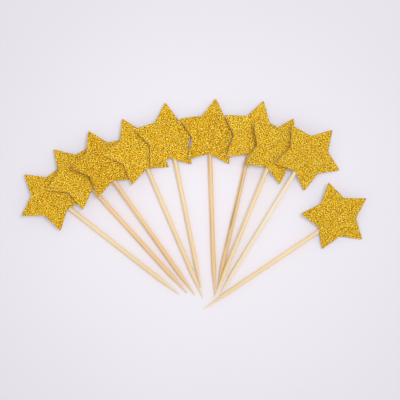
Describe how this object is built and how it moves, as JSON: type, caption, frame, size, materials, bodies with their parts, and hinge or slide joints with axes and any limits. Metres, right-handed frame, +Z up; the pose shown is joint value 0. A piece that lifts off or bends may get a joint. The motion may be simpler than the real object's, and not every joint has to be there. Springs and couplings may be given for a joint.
{
  "type": "star cake topper set",
  "caption": "Gold glitter star cake toppers: flat five-armed stars glued to round pointed wooden picks, laid in a fan with each star over its neighbour.",
  "frame": {"origin": "on the table, under the middle of the set's bounding box", "axes": "+X to the right of the fan, +Y from the points towards the stars, +Z up from the table"},
  "size_m": [0.2054, 0.1256, 0.0098],
  "materials": {
    "pick": "plain turned wood, no varnish",
    "star_card": "uncoated pale card, white back",
    "glitter_face": "fine gold glitter bonded all over",
    "glue_bead": "hot-melt glue, slightly cloudy"
  },
  "bodies": {
    "topper_01": {"pick_01": "pick", "star_card_01": "star_card", "glitter_face_01": "glitter_face", "glue_bead_01": "glue_bead"},
    "topper_02": {"pick_02": "pick", "star_card_02": "star_card", "glitter_face_02": "glitter_face", "glue_bead_02": "glue_bead"},
    "topper_03": {"pick_03": "pick", "star_card_03": "star_card", "glitter_face_03": "glitter_face", "glue_bead_03": "glue_bead"},
    "topper_04": {"pick_04": "pick", "star_card_04": "star_card", "glitter_face_04": "glitter_face", "glue_bead_04": "glue_bead"},
    "topper_05": {"pick_05": "pick", "star_card_05": "star_card", "glitter_face_05": "glitter_face", "glue_bead_05": "glue_bead"},
    "topper_06": {"pick_06": "pick", "star_card_06": "star_card", "glitter_face_06": "glitter_face", "glue_bead_06": "glue_bead"},
    "topper_07": {"pick_07": "pick", "star_card_07": "star_card", "glitter_face_07": "glitter_face", "glue_bead_07": "glue_bead"},
    "topper_08": {"pick_08": "pick", "star_card_08": "star_card", "glitter_face_08": "glitter_face", "glue_bead_08": "glue_bead"},
    "topper_09": {"pick_09": "pick", "star_card_09": "star_card", "glitter_face_09": "glitter_face", "glue_bead_09": "glue_bead"},
    "topper_10": {"pick_10": "pick", "star_card_10": "star_card", "glitter_face_10": "glitter_face", "glue_bead_10": "glue_bead"}
  },
  "joints": [
    {"name": "pull_out_02", "type": "slide", "parent": "topper_01", "child": "topper_02", "axis": [-0.6746, 0.7382, 0], "range_m": [0, 0.12]},
    {"name": "pull_out_03", "type": "slide", "parent": "topper_01", "child": "topper_03", "axis": [-0.5769, 0.8163, 0.0288], "range_m": [0, 0.12]},
    {"name": "pull_out_04", "type": "slide", "parent": "topper_01", "child": "topper_04", "axis": [-0.3955, 0.9185, 0], "range_m": [0, 0.12]},
    {"name": "pull_out_05", "type": "slide", "parent": "topper_01", "child": "topper_05", "axis": [-0.1998, 0.9798, 0], "range_m": [0, 0.12]},
    {"name": "pull_out_06", "type": "slide", "parent": "topper_01", "child": "topper_06", "axis": [-0.0342, 0.9994, 0], "range_m": [0, 0.12]},
    {"name": "pull_out_07", "type": "slide", "parent": "topper_01", "child": "topper_07", "axis": [0.2249, 0.9744, 0], "range_m": [0, 0.12]},
    {"name": "pull_out_08", "type": "slide", "parent": "topper_01", "child": "topper_08", "axis": [0.3777, 0.9259, 0], "range_m": [0, 0.12]},
    {"name": "pull_out_09", "type": "slide", "parent": "topper_01", "child": "topper_09", "axis": [0.5234, 0.8517, 0.0253], "range_m": [0, 0.12]},
    {"name": "pull_out_10", "type": "slide", "parent": "topper_01", "child": "topper_10", "axis": [0.829, 0.5592, 0], "range_m": [0, 0.12]}
  ]
}
